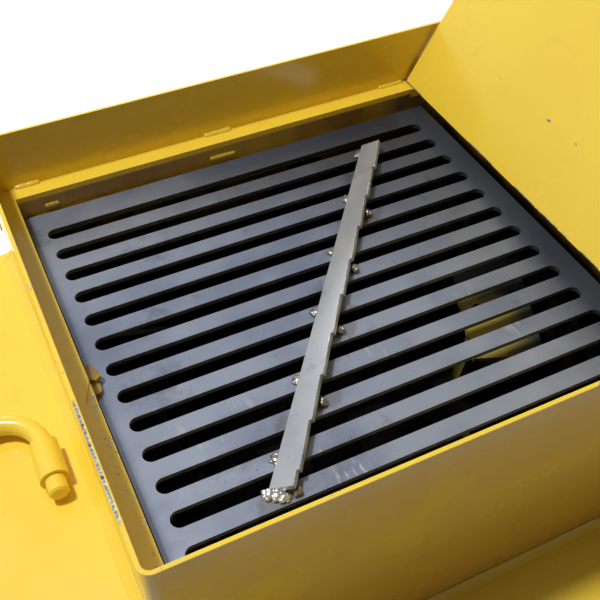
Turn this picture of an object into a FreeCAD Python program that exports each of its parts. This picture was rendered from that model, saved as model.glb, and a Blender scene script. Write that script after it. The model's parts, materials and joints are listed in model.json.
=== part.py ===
import FreeCAD, Part
import math
import os

# Charging hopper of a skid-mounted paddle mixer, with a slotted bag-splitter grate.
# Millimetres, +Z up.  The origin is on the floor, midway between the four anchor holes.
# Every shape is drawn about the tank's centre line (x = 0, y = 0) and save() then
# moves it TANK_X along +X.

V = FreeCAD.Vector
X_AXIS = V(1, 0, 0)
Y_AXIS = V(0, 1, 0)
Z_AXIS = V(0, 0, 1)

# ---- driving dimensions ----
TANK_X = 130.0
SHEET = 4.0
TANK_HALF_X = 297.5
TANK_HALF_Y = 284.5
SHAFT_Z = 450.0
GRATE_TOP = 780.0
DECK_TOP = 810.0
RIM_Z = 890.0
SHELF_TOP = 592.0

# slotted grate
GRATE_T = 6.0
GRATE_X0 = -294.0
GRATE_X1 = 285.0
GRATE_HALF_Y = 280.0
SLOT_COUNT = 13
SLOT_PITCH = 40.0
SLOT_WIDTH = 19.0
SLOT_LENGTH = 533.0
SLOT_X0 = -275.5
SLOT_BACK_Y = 236.5

# splash guard and deck
WALL_LEFT = -324.5
WALL_FRONT = -304.5
WALL_BACK = 311.5
WALL_RIGHT = 336.5
LEDGE_RIGHT = 271.5
TAIL_NOTCH_X = 268.0
RIGHT_LEDGE_Z = 791.0
BEND_R = 12.0
DECK_LEFT = -575.5
DECK_BACK = 192.5
SHELF_FRONT = -449.5

# lid, drawn upright and then leaned back about its lower front edge
LID_LEAN = 30.0
LID_LENGTH = 634.0
LID_Y0 = -291.5
LID_Y1 = 302.5
LID_EDGE_X = 270.5
LID_EDGE_Z = 812.5
HINGE_N = 13.6
HINGE_S = 24.8
PIVOT_R = 5.0
RUN_GAP = 0.05

# hold-down bolt
BOLT_X = -289.5
BOLT_Y = -11.5
BOLT_R = 4.0

# bag-splitter blade, lying across the grate
BLADE_START = V(-177.0, -214.3, GRATE_TOP)
BLADE_HEADING = 52.5
BLADE_TILT = 30.0
BLADE_LENGTH = 555.0
BLADE_T = 5.0
BLADE_ROOT_W = 26.5
BLADE_TIP_W = 30.0
TOOTH_PITCH = 59.5
TOOTH_COUNT = 9
FIRST_TOOTH = 18.0

# swing lever and its sleeve
LEVER_X = -359.5
LEVER_R = 9.5
SLEEVE_R = 13.5
LEVER_Z = DECK_TOP + SLEEVE_R + 0.1
SLEEVE_Y0 = -142.5
SLEEVE_Y1 = -100.5
LEVER_TIP_Y = -159.5
LEVER_BEND_R = 40.0
LEVER_END_X = -535.5

# agitator
SHAFT_R = 25.0
HUB_R = 42.0
HUB_LENGTH = 60.0
ARM_STATIONS = [-209.5, -70.0, 70.0, 209.5]
ARM_WIDTH = 40.0
ARM_T = 16.0
PADDLE_R = 250.0
PADDLE_T = 8.0
PADDLE_LENGTH = 150.0
PADDLE_WIDTH = 90.0
PADDLE_SKEW = 19.0
REST_TURN = 10.0

# drive
OUTPUT_R = 20.0
GEARBOX_X0 = -530.0
GEARBOX_X1 = -420.0
GEARBOX_HALF_Y = 85.0
GEARBOX_Z0 = 360.0
GEARBOX_Z1 = 580.0
MOTOR_X = -475.0
MOTOR_Z = 513.0
MOTOR_R = 70.0

# discharge gate on the right end plate
GATE_HALF_Y = 60.0
GATE_Z0 = 173.0
GATE_Z1 = 262.0

# skid
SKID_X0 = -600.0
SKID_X1 = 340.0
RUNNER_Y = 230.0
FOOT_T = 10.0
SKID_TOP = 110.0
ANCHOR_X = 410.0
ANCHOR_Y = 285.0
ANCHOR_R = 7.0


def box(x0, x1, y0, y1, z0, z1):
    return Part.makeBox(x1 - x0, y1 - y0, z1 - z0, V(x0, y0, z0))


def rod(start, direction, length, radius):
    return Part.makeCylinder(radius, length, start, direction)


def ring(start, direction, length, outer, inner):
    bore = rod(start - direction, direction, length + 2, inner)
    return rod(start, direction, length, outer).cut(bore)


def prism(points, sweep):
    face = Part.Face(Part.makePolygon(points + points[:1]))
    return face.extrude(sweep)


def flat(points, z0, z1):
    return prism([V(x, y, z0) for x, y in points], V(0, 0, z1 - z0))


def upright_plate(points, x0, x1):
    return prism([V(x0, y, z) for y, z in points], V(x1 - x0, 0, 0))


def hexagon(centre, direction, across_flats, height):
    corner = across_flats / math.sqrt(3)
    points = []
    for step in range(6):
        angle = math.radians(60 * step + 30)
        points.append(V(corner * math.cos(angle), corner * math.sin(angle), 0))
    shape = prism(points, V(0, 0, height))
    shape.Placement = FreeCAD.Placement(centre, FreeCAD.Rotation(Z_AXIS, direction))
    return shape


def edges_along(shape, direction):
    return [e for e in shape.Edges if abs(e.tangentAt(e.FirstParameter).dot(direction)) > 0.9]


def joined(shapes):
    whole = shapes[0]
    for shape in shapes[1:]:
        whole = whole.fuse(shape)
    return whole.removeSplitter()


def without(shape, holes):
    for hole in holes:
        shape = shape.cut(hole)
    return shape


def u_handle(base, half_w, reach, radius, bend_r):
    """A round bar bent into a U: two legs along +X from the plane x = base.x, joined along Y."""
    leg = reach - bend_r
    parts = []
    for side in (-1, 1):
        y = base.y + side * half_w
        parts.append(rod(V(base.x, y, base.z), X_AXIS, leg, radius))
        circle = Part.makeCircle(radius, V(base.x + leg, y, base.z), X_AXIS)
        centre = V(base.x + leg, y - side * bend_r, base.z)
        parts.append(Part.Face(Part.Wire(circle)).revolve(centre, Z_AXIS, -side * 90))
    grip_half = half_w - bend_r
    parts.append(rod(V(base.x + reach, base.y - grip_half, base.z), Y_AXIS, 2 * grip_half, radius))
    return joined(parts)


def save(name, *solids):
    shape = solids[0] if len(solids) == 1 else Part.makeCompound(list(solids))
    moved = shape.copy()
    moved.translate(V(TANK_X, 0, 0))
    moved.exportStep("parts/" + name + ".step")


# ---- skid ----
def box_tube_x(x0, x1, y, half_w, z0, z1, wall):
    outer = box(x0, x1, y - half_w, y + half_w, z0, z1)
    inner = box(x0 - 1, x1 + 1, y - half_w + wall, y + half_w - wall, z0 + wall, z1 - wall)
    return outer.cut(inner)


def skid():
    wall = 5.0
    half_w = 30.0
    for name, y in (("skid_runner_front", -RUNNER_Y), ("skid_runner_back", RUNNER_Y)):
        save(name, box_tube_x(SKID_X0, SKID_X1, y, half_w, FOOT_T, SKID_TOP, wall))

    cap_t = 4.0
    caps = []
    for y in (-RUNNER_Y, RUNNER_Y):
        for x0 in (SKID_X0 - cap_t, SKID_X1):
            caps.append(box(x0, x0 + cap_t, y - half_w, y + half_w, FOOT_T, SKID_TOP))
    save("skid_end_caps", *caps)

    members = []
    for x in (MOTOR_X, -TANK_HALF_X - 2, TANK_HALF_X + 2):
        outer = box(x - 30, x + 30, half_w - RUNNER_Y, RUNNER_Y - half_w, 30, SKID_TOP)
        hollow = box(x - 25, x + 25, half_w - RUNNER_Y - 1, RUNNER_Y - half_w + 1, 35, SKID_TOP - 5)
        members.append(outer.cut(hollow))
    save("skid_cross_members", *members)

    centre_x = (SKID_X0 + SKID_X1) / 2
    feet = []
    for side_x in (-ANCHOR_X, ANCHOR_X):
        for side_y in (-1, 1):
            x = centre_x + side_x
            y0, y1 = sorted((side_y * 195.0, side_y * 310.0))
            foot = box(x - 60, x + 60, y0, y1, 0, FOOT_T)
            hole = rod(V(x, side_y * ANCHOR_Y, -1), Z_AXIS, FOOT_T + 2, ANCHOR_R)
            feet.append(foot.cut(hole))
    save("skid_foot_plates", *feet)


# ---- tank ----
def trough_shell():
    x0, length = -TANK_HALF_X, 2 * TANK_HALF_X
    under_deck = DECK_TOP - SHEET
    outer_y = TANK_HALF_Y + SHEET
    outer = joined([
        rod(V(x0, 0, SHAFT_Z), X_AXIS, length, outer_y),
        box(x0, -x0, -outer_y, outer_y, SHAFT_Z, under_deck),
    ])
    inner = joined([
        rod(V(x0 - 1, 0, SHAFT_Z), X_AXIS, length + 2, TANK_HALF_Y),
        box(x0 - 1, 1 - x0, -TANK_HALF_Y, TANK_HALF_Y, SHAFT_Z, under_deck + 1),
    ])
    # the right end is lower, where the lid's tail swings past
    tail_room = box(TAIL_NOTCH_X, 1 - x0, -outer_y - 1, outer_y + 1, RIGHT_LEDGE_Z, under_deck + 1)
    save("trough_shell", without(outer, [inner, tail_room]))


def end_plates():
    front, back = WALL_FRONT + SHEET, 300.0
    under_deck = DECK_TOP - SHEET
    shaft_hole_r = SHAFT_R + 2
    left_x = -TANK_HALF_X - SHEET
    left = box(left_x, -TANK_HALF_X, front, back, SKID_TOP, under_deck)
    left = left.cut(rod(V(left_x - 1, 0, SHAFT_Z), X_AXIS, SHEET + 2, shaft_hole_r))
    save("end_plate_left", left)

    right_x = TANK_HALF_X
    right = box(right_x, right_x + SHEET, front, back, SKID_TOP, RIGHT_LEDGE_Z)
    right = without(right, [
        box(right_x - 1, right_x + SHEET + 1, -GATE_HALF_Y, GATE_HALF_Y, GATE_Z0, GATE_Z1),
        rod(V(right_x - 1, 0, SHAFT_Z), X_AXIS, SHEET + 2, shaft_hole_r),
    ])
    save("end_plate_right", right)
    outline = [
        (TAIL_NOTCH_X, front), (WALL_RIGHT, front), (WALL_RIGHT, WALL_BACK - SHEET),
        (TAIL_NOTCH_X, WALL_BACK - SHEET), (TAIL_NOTCH_X, TANK_HALF_Y), (right_x, TANK_HALF_Y),
        (right_x, -TANK_HALF_Y), (TAIL_NOTCH_X, -TANK_HALF_Y),
    ]
    save("right_ledge", flat(outline, RIGHT_LEDGE_Z, RIGHT_LEDGE_Z + SHEET))


# ---- deck and splash guard ----
def top_deck():
    inner_front = WALL_FRONT + SHEET
    inner_back = WALL_BACK - SHEET
    bend_x = WALL_LEFT + BEND_R
    outline = [
        (DECK_LEFT, WALL_FRONT),
        (WALL_LEFT - 0.5, WALL_FRONT),
        (WALL_LEFT - 0.5, inner_front + 1.5),
        (bend_x + 1.5, inner_front + 1.5),
        (bend_x + 1.5, inner_front),
        (LEDGE_RIGHT, inner_front),
        (LEDGE_RIGHT, -TANK_HALF_Y),
        (-TANK_HALF_X, -TANK_HALF_Y),
        (-TANK_HALF_X, TANK_HALF_Y),
        (LEDGE_RIGHT, TANK_HALF_Y),
        (LEDGE_RIGHT, inner_back),
        (WALL_LEFT, inner_back),
        (WALL_LEFT, DECK_BACK),
        (DECK_LEFT, DECK_BACK),
    ]
    deck = flat(outline, DECK_TOP - SHEET, DECK_TOP)
    corner = [e for e in edges_along(deck, Z_AXIS)
              if abs(e.CenterOfMass.x - WALL_LEFT) < 0.1 and abs(e.CenterOfMass.y - DECK_BACK) < 0.1]
    save("top_deck", deck.makeFillet(8.0, corner))


def left_seat_strip():
    wall_x = WALL_LEFT + SHEET
    wide_x, narrow_x = -TANK_HALF_X - 0.5, -309.0
    front_y, step_y, back_y = WALL_FRONT + SHEET + 9.0, -47.0, 292.5
    round_r = (wide_x - wall_x) / 2
    strip = joined([
        flat([(wall_x, front_y), (narrow_x, front_y), (narrow_x, step_y - 14), (narrow_x + 4, step_y - 4),
              (wide_x - 3, step_y + 4), (wide_x, step_y + 12),
              (wide_x, back_y - round_r), (wall_x, back_y - round_r)], DECK_TOP, DECK_TOP + 3),
        rod(V(wall_x + round_r, back_y - round_r, DECK_TOP), Z_AXIS, 3, round_r),
    ])
    save("left_seat_strip", strip)


def pivot_centre():
    lean = math.radians(LID_LEAN)
    x = LID_EDGE_X + HINGE_S * math.sin(lean) + HINGE_N * math.cos(lean)
    z = LID_EDGE_Z + HINGE_S * math.cos(lean) - HINGE_N * math.sin(lean)
    return x, z


def splash_guard():
    corner_x, corner_y = WALL_LEFT + BEND_R, WALL_FRONT + BEND_R
    inner_back = WALL_BACK - SHEET
    pivot_x, pivot_z = pivot_centre()
    pivot_hole = rod(V(pivot_x, WALL_FRONT - 5, pivot_z), Y_AXIS, 640, PIVOT_R + 0.3)

    left = box(WALL_LEFT, WALL_LEFT + SHEET, corner_y, inner_back, DECK_TOP, RIM_Z)
    front = box(corner_x, WALL_RIGHT, WALL_FRONT, WALL_FRONT + SHEET, SHELF_TOP, RIM_Z)
    bend = ring(V(corner_x, corner_y, DECK_TOP), Z_AXIS, RIM_Z - DECK_TOP, BEND_R, BEND_R - SHEET)
    quarter = box(WALL_LEFT - 1, corner_x, WALL_FRONT - 1, corner_y, DECK_TOP - 1, RIM_Z + 1)
    bent = joined([left, front, bend.common(quarter)])
    save("splash_guard_front_left", bent.cut(pivot_hole))

    skirt_z = GRATE_TOP - 30
    back = box(WALL_LEFT, WALL_RIGHT, inner_back, WALL_BACK, skirt_z, RIM_Z)
    save("splash_guard_back", back.cut(pivot_hole))


def front_shelf():
    plate_t = 6.0
    lip = 46.0
    x0 = WALL_LEFT + BEND_R
    inner_front = WALL_FRONT + SHEET
    outline = [
        (inner_front, SHELF_TOP), (SHELF_FRONT, SHELF_TOP), (SHELF_FRONT, SHELF_TOP - lip),
        (SHELF_FRONT + plate_t, SHELF_TOP - lip), (SHELF_FRONT + plate_t, SHELF_TOP - plate_t),
        (inner_front, SHELF_TOP - plate_t),
    ]
    save("front_shelf", upright_plate(outline, x0, WALL_RIGHT))

    under = SHELF_TOP - plate_t
    nose = SHELF_FRONT + plate_t
    gussets = []
    for x, root_y in ((-299.5, inner_front), (0.0, -TANK_HALF_Y - SHEET), (299.5, inner_front)):
        outline = [(root_y, under), (nose, under), (nose, under - 30), (root_y, under - 120)]
        gussets.append(upright_plate(outline, x - 4, x + 4))
    save("shelf_gussets", *gussets)


# ---- grate, its seats, hold-down and blade ----
def grate():
    under = GRATE_TOP - GRATE_T
    plate = box(GRATE_X0, GRATE_X1, -GRATE_HALF_Y, GRATE_HALF_Y, under, GRATE_TOP)
    radius = SLOT_WIDTH / 2
    holes = []
    for index in range(SLOT_COUNT):
        y = SLOT_BACK_Y - index * SLOT_PITCH
        left, right = SLOT_X0 + radius, SLOT_X0 + SLOT_LENGTH - radius
        holes.append(box(left, right, y - radius, y + radius, under - 1, GRATE_TOP + 1))
        for x in (left, right):
            holes.append(rod(V(x, y, under - 1), Z_AXIS, GRATE_T + 2, radius))
    notch_r = BOLT_R + 0.5
    holes.append(rod(V(BOLT_X, BOLT_Y, under - 1), Z_AXIS, GRATE_T + 2, notch_r))
    holes.append(box(GRATE_X0 - 1, BOLT_X, BOLT_Y - notch_r, BOLT_Y + notch_r,
                     under - 1, GRATE_TOP + 1))
    save("grate_plate", without(plate, holes))

    leg, leg_t = 30.0, 5.0
    for name, side in (("grate_support_front", -1), ("grate_support_back", 1)):
        wall_y = side * TANK_HALF_Y
        outline = [
            (wall_y, under), (wall_y - side * leg, under), (wall_y - side * leg, under - leg_t),
            (wall_y - side * leg_t, under - leg_t), (wall_y - side * leg_t, under - leg),
            (wall_y, under - leg),
        ]
        save(name, upright_plate(outline, -280.0, 280.0))


def hold_down():
    wall_x = -TANK_HALF_X
    lug_t, lug_w, lug_half = 6.0, 11.0, 21.0
    lug = box(wall_x, wall_x + lug_w, BOLT_Y - lug_half, BOLT_Y + lug_half,
              GRATE_TOP, GRATE_TOP + lug_t)
    outer_corners = [e for e in edges_along(lug, Z_AXIS) if e.CenterOfMass.x > wall_x + 1]
    lug = lug.makeFillet(5.0, outer_corners)
    save("hold_down_lug", lug.cut(rod(V(BOLT_X, BOLT_Y, 700), Z_AXIS, 200, BOLT_R + 0.3)))

    head_h, shank = 5.5, 34.0
    head = hexagon(V(BOLT_X, BOLT_Y, GRATE_TOP + lug_t), Z_AXIS, 13.0, head_h)
    body = rod(V(BOLT_X, BOLT_Y, GRATE_TOP + lug_t - shank), Z_AXIS, shank + 1, BOLT_R)
    save("hold_down_bolt", joined([head, body]))

    block_top = GRATE_TOP - GRATE_T
    block = box(wall_x, wall_x + 20, BOLT_Y - 13, BOLT_Y + 13, block_top - 16, block_top)
    save("hold_down_block", block.cut(rod(V(BOLT_X, BOLT_Y, 700), Z_AXIS, 100, BOLT_R)))


def bag_splitter_blade():
    heading, tilt = math.radians(BLADE_HEADING), math.radians(BLADE_TILT)
    along = V(math.cos(heading), math.sin(heading), 0)
    across = V(math.sin(heading), -math.cos(heading), 0)
    rise = across * math.cos(tilt) + Z_AXIS * math.sin(tilt)
    normal = Z_AXIS * math.cos(tilt) - across * math.sin(tilt)
    outline = [(0, 0), (BLADE_LENGTH, 0), (BLADE_LENGTH, BLADE_ROOT_W)]
    for index in reversed(range(TOOTH_COUNT)):
        step = FIRST_TOOTH + index * TOOTH_PITCH
        outline.append((step, BLADE_TIP_W))
        outline.append((step, BLADE_ROOT_W))
    outline.append((0, BLADE_ROOT_W + 1))
    points = [BLADE_START + along * u + rise * v for u, v in outline]
    save("bag_splitter_blade", prism(points, normal * BLADE_T))


# ---- swing lever ----
def lever():
    sleeve = ring(V(LEVER_X, SLEEVE_Y0, LEVER_Z), Y_AXIS, SLEEVE_Y1 - SLEEVE_Y0,
                  SLEEVE_R, LEVER_R + RUN_GAP)
    save("lever_sleeve", sleeve)

    chamfer = 2.0
    straight = rod(V(LEVER_X, LEVER_TIP_Y + chamfer, LEVER_Z), Y_AXIS,
                   SLEEVE_Y1 - LEVER_TIP_Y - chamfer, LEVER_R)
    tip = Part.makeCone(LEVER_R - chamfer, LEVER_R, chamfer, V(LEVER_X, LEVER_TIP_Y, LEVER_Z), Y_AXIS)
    centre_x = LEVER_X - LEVER_BEND_R
    section = Part.Face(Part.Wire(Part.makeCircle(LEVER_R, V(LEVER_X, SLEEVE_Y1, LEVER_Z), Y_AXIS)))
    bend = section.revolve(V(centre_x, SLEEVE_Y1, LEVER_Z), Z_AXIS, 90)
    leg_y = SLEEVE_Y1 + LEVER_BEND_R
    leg = rod(V(LEVER_END_X, leg_y, LEVER_Z), X_AXIS, centre_x - LEVER_END_X, LEVER_R)
    save("swing_lever", joined([straight, tip, bend, leg]))


# ---- lid ----
def lean_lid(shape):
    leaned = shape.copy()
    leaned.rotate(V(0, 0, 0), Y_AXIS, LID_LEAN)
    leaned.translate(V(LID_EDGE_X, 0, LID_EDGE_Z))
    return leaned


def lid():
    # local axes: x runs from the flat face to the back of the lid, z up its length
    panel = box(0, SHEET, LID_Y0, LID_Y1, 0, LID_LENGTH)
    save("lid_panel", lean_lid(panel))

    pipe_r = HINGE_N - SHEET - 0.05
    pipe = ring(V(HINGE_N, LID_Y0, HINGE_S), Y_AXIS, LID_Y1 - LID_Y0, pipe_r, PIVOT_R + RUN_GAP)
    save("lid_hinge_pipe", lean_lid(pipe))

    rib_h, rib_t = 30.0, 5.0
    middle_y = (LID_Y0 + LID_Y1) / 2
    ribs = []
    for offset in (-200.0, 200.0):
        y = middle_y + offset
        outline = [V(SHEET, y - rib_t / 2, 115), V(SHEET + rib_h, y - rib_t / 2, 145),
                   V(SHEET + rib_h, y - rib_t / 2, LID_LENGTH - 60),
                   V(SHEET, y - rib_t / 2, LID_LENGTH - 30)]
        ribs.append(lean_lid(prism(outline, V(0, rib_t, 0))))
    save("lid_stiffeners", *ribs)

    grip = V(SHEET, middle_y, LID_LENGTH - 45)
    handle = u_handle(grip, 60.0, 40.0, 6.0, 14.0)
    save("lid_handle", lean_lid(handle))


def lid_supports():
    pivot_x, pivot_z = pivot_centre()
    overhang, nut_t = 14.0, 8.0
    rod_y0, rod_y1 = WALL_FRONT - overhang, WALL_BACK + overhang
    save("lid_pivot_rod", rod(V(pivot_x, rod_y0, pivot_z), Y_AXIS, rod_y1 - rod_y0, PIVOT_R))
    nuts = []
    for y in (WALL_FRONT - nut_t, WALL_BACK):
        nut = hexagon(V(pivot_x, y, pivot_z), Y_AXIS, 17.0, nut_t)
        nuts.append(nut.cut(rod(V(pivot_x, y - 1, pivot_z), Y_AXIS, nut_t + 2, PIVOT_R)))
    save("lid_pivot_nuts", *nuts)

    bar_r, bar_s, gap = 8.0, 85.0, 0.3
    lean = math.radians(LID_LEAN)
    bar_n = SHEET + bar_r + gap
    bar_x = LID_EDGE_X + bar_s * math.sin(lean) + bar_n * math.cos(lean)
    bar_z = LID_EDGE_Z + bar_s * math.cos(lean) - bar_n * math.sin(lean)
    y0, y1 = WALL_FRONT + SHEET, WALL_BACK - SHEET
    save("lid_rest_bar", rod(V(bar_x, y0, bar_z), Y_AXIS, y1 - y0, bar_r))


# ---- agitator ----
def turned(shape, degrees):
    shape = shape.copy()
    shape.rotate(V(0, 0, SHAFT_Z), X_AXIS, degrees)
    return shape


def agitator():
    shaft_x0, shaft_x1 = -372.0, 334.0
    save("mixer_shaft", rod(V(shaft_x0, 0, SHAFT_Z), X_AXIS, shaft_x1 - shaft_x0, SHAFT_R))

    hubs = []
    bolts = []
    for index, x in enumerate(ARM_STATIONS):
        hub = ring(V(x - HUB_LENGTH / 2, 0, SHAFT_Z), X_AXIS, HUB_LENGTH, HUB_R, SHAFT_R)
        hubs.append(hub)
        turn = REST_TURN + 90.0 * (3 - index)
        skew = -PADDLE_SKEW if index % 2 else PADDLE_SKEW
        foot_r = PADDLE_R - PADDLE_T / 2
        arm = box(x - ARM_WIDTH / 2, x + ARM_WIDTH / 2, -ARM_T / 2, ARM_T / 2,
                  SHAFT_Z + HUB_R - 6, SHAFT_Z + foot_r)
        arm = arm.cut(rod(V(x - 60, 0, SHAFT_Z), X_AXIS, 120, HUB_R))
        save("paddle_arm_%d" % (index + 1), turned(arm, turn))

        blade = box(x - PADDLE_WIDTH / 2, x + PADDLE_WIDTH / 2,
                    -PADDLE_LENGTH / 2, PADDLE_LENGTH / 2,
                    SHAFT_Z + foot_r, SHAFT_Z + foot_r + PADDLE_T)
        blade.rotate(V(x, 0, 0), Z_AXIS, skew)
        save("paddle_blade_%d" % (index + 1), turned(blade, turn))

        for offset in (-28.0, 28.0):
            bolt = hexagon(V(x + offset, 0, SHAFT_Z + foot_r + PADDLE_T), Z_AXIS, 17.0, 7.0)
            bolts.append(turned(bolt, turn))
    save("arm_hubs", *hubs)
    save("paddle_bolt_heads", *bolts)

    coupling_x0, coupling_x1 = -412.0, -352.0
    coupling = rod(V(coupling_x0, 0, SHAFT_Z), X_AXIS, coupling_x1 - coupling_x0, 45.0)
    coupling = without(coupling, [
        rod(V(shaft_x0, 0, SHAFT_Z), X_AXIS, 60, SHAFT_R),
        rod(V(coupling_x0 - 1, 0, SHAFT_Z), X_AXIS, shaft_x0 - coupling_x0 + 1, OUTPUT_R),
    ])
    save("drive_coupling", coupling)
    output_x0 = GEARBOX_X0 - 8
    save("gearbox_output_shaft", rod(V(output_x0, 0, SHAFT_Z), X_AXIS, shaft_x0 - output_x0, OUTPUT_R))


# ---- bearings and seals ----
def bearings():
    flange_half, flange_t, boss_r, boss_l = 55.0, 14.0, 42.0, 30.0
    housings = []
    bolts = []
    for side in (-1, 1):
        face_x = side * (TANK_HALF_X + SHEET)
        out = V(side, 0, 0)
        x0, x1 = sorted((face_x, face_x + side * flange_t))
        flange = box(x0, x1, -flange_half, flange_half, SHAFT_Z - flange_half, SHAFT_Z + flange_half)
        flange = flange.makeFillet(12.0, edges_along(flange, X_AXIS))
        boss = rod(V(face_x, 0, SHAFT_Z), out, boss_l, boss_r)
        bore = rod(V(face_x - side, 0, SHAFT_Z), out, boss_l + 2, SHAFT_R + RUN_GAP)
        housings.append(joined([flange, boss]).cut(bore))
        for dy in (-41.0, 41.0):
            for dz in (-41.0, 41.0):
                centre = V(face_x + side * flange_t, dy, SHAFT_Z + dz)
                bolts.append(hexagon(centre, out, 19.0, 8.0))
    save("shaft_bearings", *housings)
    save("bearing_bolts", *bolts)

    seal_l, seal_r = 10.0, 45.0
    seals = []
    for side in (-1, 1):
        start = V(side * TANK_HALF_X, 0, SHAFT_Z)
        seals.append(ring(start, V(-side, 0, 0), seal_l, seal_r, SHAFT_R + RUN_GAP))
    save("shaft_seals", *seals)


# ---- drive ----
def gearbox():
    shell = box(GEARBOX_X0, GEARBOX_X1, -GEARBOX_HALF_Y, GEARBOX_HALF_Y, GEARBOX_Z0, GEARBOX_Z1)
    shell = shell.makeFillet(14.0, edges_along(shell, X_AXIS))
    flange_half = 62.0
    flange = box(MOTOR_X - 52, MOTOR_X + 52, -GEARBOX_HALF_Y - 16, -GEARBOX_HALF_Y + 5,
                 MOTOR_Z - flange_half + 10, MOTOR_Z + flange_half - 10)
    ribs = [box(x - 3, x + 3, -60, 60, GEARBOX_Z1 - 2, GEARBOX_Z1 + 10)
            for x in (-515.0, -495.0, -475.0, -455.0, -435.0)]
    bore = rod(V(GEARBOX_X0 - 5, 0, SHAFT_Z), X_AXIS, 120, OUTPUT_R + RUN_GAP)
    save("gearbox", joined([shell, flange] + ribs).cut(bore))

    plate_t = 8.0
    top = box(GEARBOX_X0 - 5, GEARBOX_X1 + 5, -95, 95, GEARBOX_Z0 - plate_t, GEARBOX_Z0)
    legs = [box(GEARBOX_X0 + 25, GEARBOX_X1 - 25, y - plate_t / 2, y + plate_t / 2,
                SKID_TOP, GEARBOX_Z0 - plate_t) for y in (-80.0, 80.0)]
    save("gearbox_pedestal", joined([top] + legs))


def finned_outline(core_r, fin_r, fins):
    points = []
    for index in range(fins):
        for share, radius in ((0.0, core_r), (0.5, core_r), (0.55, fin_r), (0.95, fin_r)):
            angle = 2 * math.pi * (index + share) / fins
            points.append((radius * math.cos(angle), radius * math.sin(angle)))
    return points


def drive_motor():
    y0, y1 = -GEARBOX_HALF_Y - 196, -GEARBOX_HALF_Y - 16
    fin_y0 = y0 + 32
    outline = finned_outline(MOTOR_R - 8, MOTOR_R, 24)
    points = [V(MOTOR_X + a, fin_y0, MOTOR_Z + b) for a, b in outline]
    body = prism(points, V(0, y1 - fin_y0 - 14, 0))
    shield = rod(V(MOTOR_X, y1 - 14, MOTOR_Z), Y_AXIS, 14, MOTOR_R - 2)
    cowl = rod(V(MOTOR_X, y0, MOTOR_Z), Y_AXIS, 32, MOTOR_R)
    rim = [e for e in cowl.Edges if abs(e.CenterOfMass.y - y0) < 0.1]
    cowl = cowl.makeFillet(8.0, rim)
    terminal_box = box(MOTOR_X - 45, MOTOR_X + 45, y1 - 130, y1 - 20, MOTOR_Z + 45, MOTOR_Z + 84)
    save("drive_motor", joined([body, shield, cowl, terminal_box]))


def drive_housing():
    bottom, top = SKID_TOP + 10, DECK_TOP - SHEET
    front_y1 = WALL_FRONT + SHEET
    front = box(DECK_LEFT, WALL_LEFT + BEND_R, WALL_FRONT, front_y1, bottom, top)
    save("housing_panel_front", front)

    back_x1 = -TANK_HALF_X - SHEET
    back = box(DECK_LEFT + SHEET, back_x1, DECK_BACK - SHEET, DECK_BACK, bottom, top)
    vents = []
    for index in range(7):
        z = 560 + index * 24
        vents.append(box(-520, -380, DECK_BACK - SHEET - 1, DECK_BACK + 1, z, z + 10))
    save("housing_panel_back", without(back, vents))

    door = (-190.0, 110.0, 300.0, 640.0)
    left = box(DECK_LEFT, DECK_LEFT + SHEET, front_y1, DECK_BACK, bottom, top)
    left = left.cut(box(DECK_LEFT - 1, DECK_LEFT + SHEET + 1, *door))
    save("housing_panel_left", left)
    margin, cover_t = 20.0, 3.0
    y0, y1, z0, z1 = door[0] - margin, door[1] + margin, door[2] - margin, door[3] + margin
    cover = box(DECK_LEFT - cover_t, DECK_LEFT, y0, y1, z0, z1)
    save("access_cover", cover.makeFillet(10.0, edges_along(cover, X_AXIS)))
    screws = []
    for y in (y0 + 10, (y0 + y1) / 2, y1 - 10):
        for z in (z0 + 10, z1 - 10):
            screws.append(hexagon(V(DECK_LEFT - cover_t, y, z), V(-1, 0, 0), 10.0, 4.5))
    save("access_cover_screws", *screws)


# ---- discharge gate ----
def discharge():
    face_x = TANK_HALF_X + SHEET
    plate_x0, plate_t = face_x + 1, 6.0
    half_y, z0, z1 = GATE_HALF_Y + 15, GATE_Z0 - 13, GATE_Z1 + 18
    plate = box(plate_x0, plate_x0 + plate_t, -half_y, half_y, z0, z1)
    save("gate_plate", plate)

    handle = u_handle(V(plate_x0 + plate_t, 0, z1 - 16), 40.0, 34.0, 5.0, 12.0)
    save("gate_handle", handle)

    base_t, keeper_t, clear, guide_l = 8.0, 4.0, 0.5, 222.0
    keeper_x = face_x + base_t
    guides = []
    for side in (-1, 1):
        inner, outer, lap = half_y + clear, half_y + 16, half_y - 8
        outline = [(inner, face_x), (outer, face_x), (outer, keeper_x + keeper_t),
                   (lap, keeper_x + keeper_t), (lap, keeper_x), (inner, keeper_x)]
        guides.append(prism([V(x, side * y, z0 - 2) for y, x in outline], V(0, 0, guide_l)))
    save("gate_guides", *guides)
    save("gate_stop", box(face_x, face_x + base_t, -half_y, half_y, z0 - 10, z0 - 0.5))

    # open chute: a sloping floor between two cheeks
    chute_x0 = keeper_x + keeper_t
    reach, drop, cheek = 110.0, 52.0, 70.0
    half, skin = GATE_HALF_Y + 10, 4.0
    floor_z = GATE_Z0 - 5
    side_view = [(chute_x0, floor_z + cheek), (chute_x0, floor_z - skin),
                 (chute_x0 + reach, floor_z - drop - skin), (chute_x0 + reach, floor_z - drop + 30)]
    outer = prism([V(x, -half, z) for x, z in side_view], V(0, 2 * half, 0))
    hollow_view = [(chute_x0 - 1, floor_z + cheek + 60), (chute_x0 - 1, floor_z + drop / reach),
                   (chute_x0 + reach + 1, floor_z - drop - drop / reach),
                   (chute_x0 + reach + 1, floor_z + cheek)]
    hollow = prism([V(x, skin - half, z) for x, z in hollow_view], V(0, 2 * (half - skin), 0))
    save("discharge_chute", outer.cut(hollow))


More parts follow.
